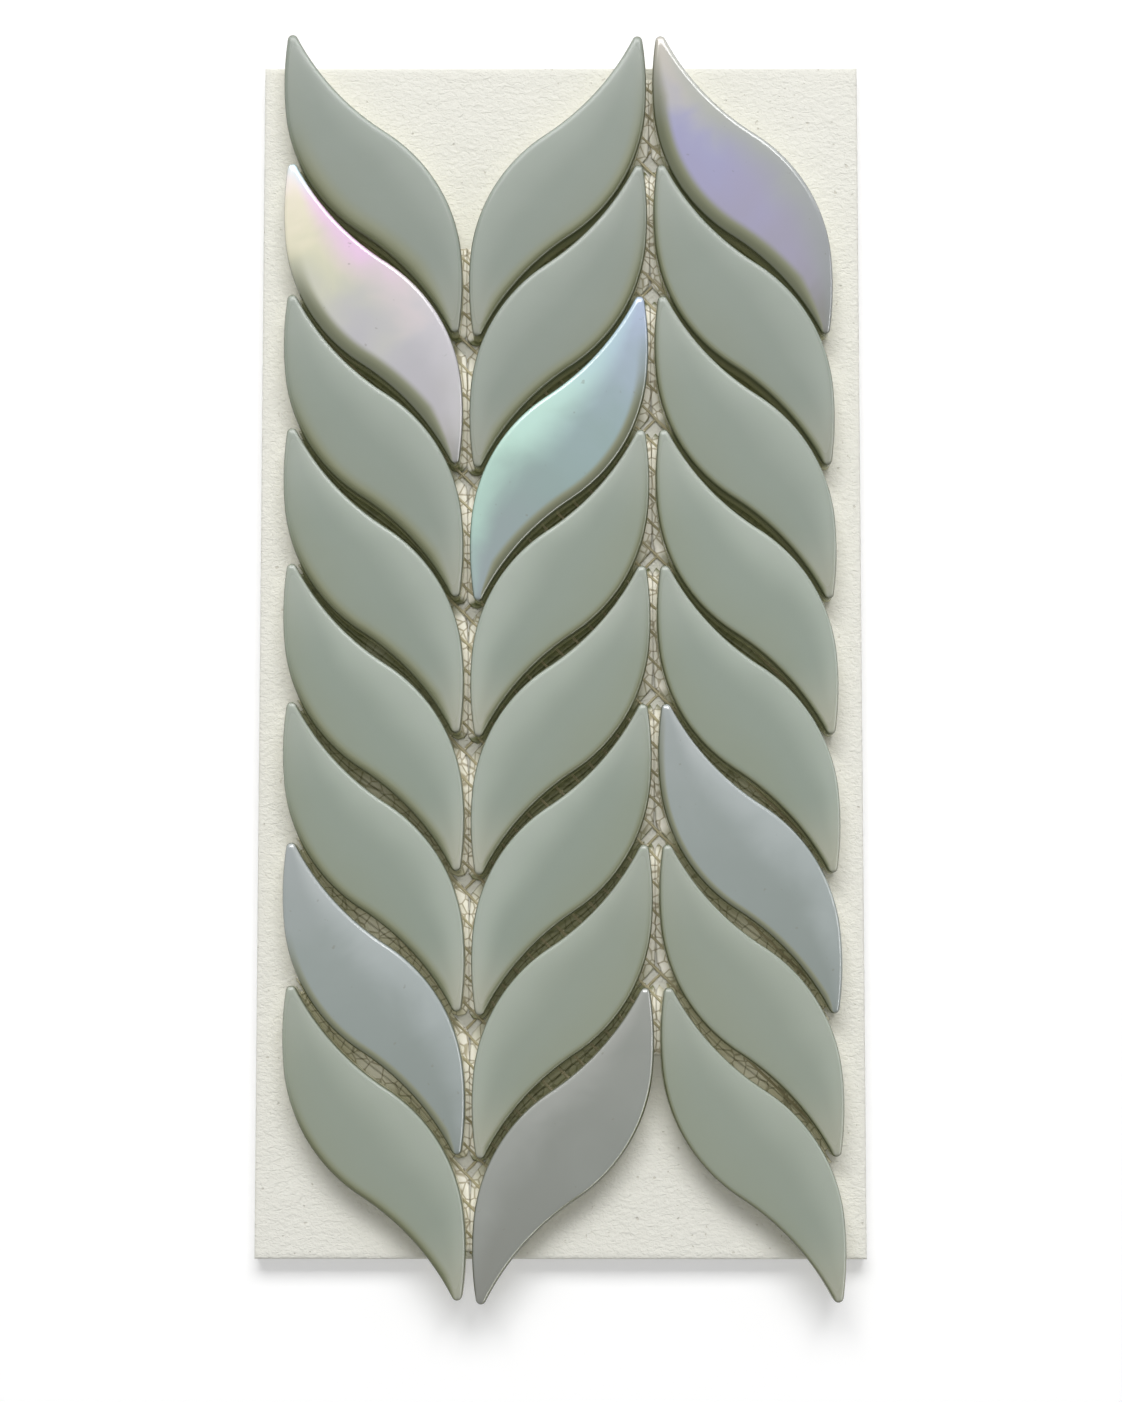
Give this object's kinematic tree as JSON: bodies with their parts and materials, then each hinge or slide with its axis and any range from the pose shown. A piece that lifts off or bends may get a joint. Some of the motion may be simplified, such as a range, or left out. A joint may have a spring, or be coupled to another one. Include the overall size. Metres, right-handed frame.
{
  "type": "leaf mosaic glass tile",
  "caption": "Mosaic of curved glass leaves, satin sage with iridescent ones between, glued on a diagonal fibre net and shown on a white sample board that lies flat on its back",
  "frame": {"origin": "the middle of the board's back face, which rests on the floor", "axes": "+Z is out of the face, +Y runs along the board's length to the end where the leaves start, +X is to the right seen from the front with +Y up"},
  "size_m": [0.153, 0.3213, 0.0145],
  "materials": {
    "white_painted_board": "matt white paint with a fine roller texture",
    "glass_fibre_yarn": "stiff, dull and slightly yellow with glue",
    "satin_sage_glass": "opal glass with a satin face",
    "iridescent_glass": "opal glass with a glossy iridescent coat"
  },
  "bodies": {
    "root": {"backing_board": "white_painted_board", "net_yarns_rising": "glass_fibre_yarn", "net_yarns_falling": "glass_fibre_yarn", "leaf_left_1": "satin_sage_glass", "leaf_left_2": "iridescent_glass", "leaf_left_3": "satin_sage_glass", "leaf_left_4": "satin_sage_glass", "leaf_left_5": "satin_sage_glass", "leaf_left_6": "satin_sage_glass", "leaf_left_7": "iridescent_glass", "leaf_left_8": "satin_sage_glass", "leaf_middle_1": "satin_sage_glass", "leaf_middle_2": "satin_sage_glass", "leaf_middle_3": "iridescent_glass", "leaf_middle_4": "satin_sage_glass", "leaf_middle_5": "satin_sage_glass", "leaf_middle_6": "satin_sage_glass", "leaf_middle_7": "satin_sage_glass", "leaf_middle_8": "iridescent_glass", "leaf_right_1": "iridescent_glass", "leaf_right_2": "satin_sage_glass", "leaf_right_3": "satin_sage_glass", "leaf_right_4": "satin_sage_glass", "leaf_right_5": "satin_sage_glass", "leaf_right_6": "iridescent_glass", "leaf_right_7": "satin_sage_glass", "leaf_right_8": "satin_sage_glass"}
  },
  "joints": []
}
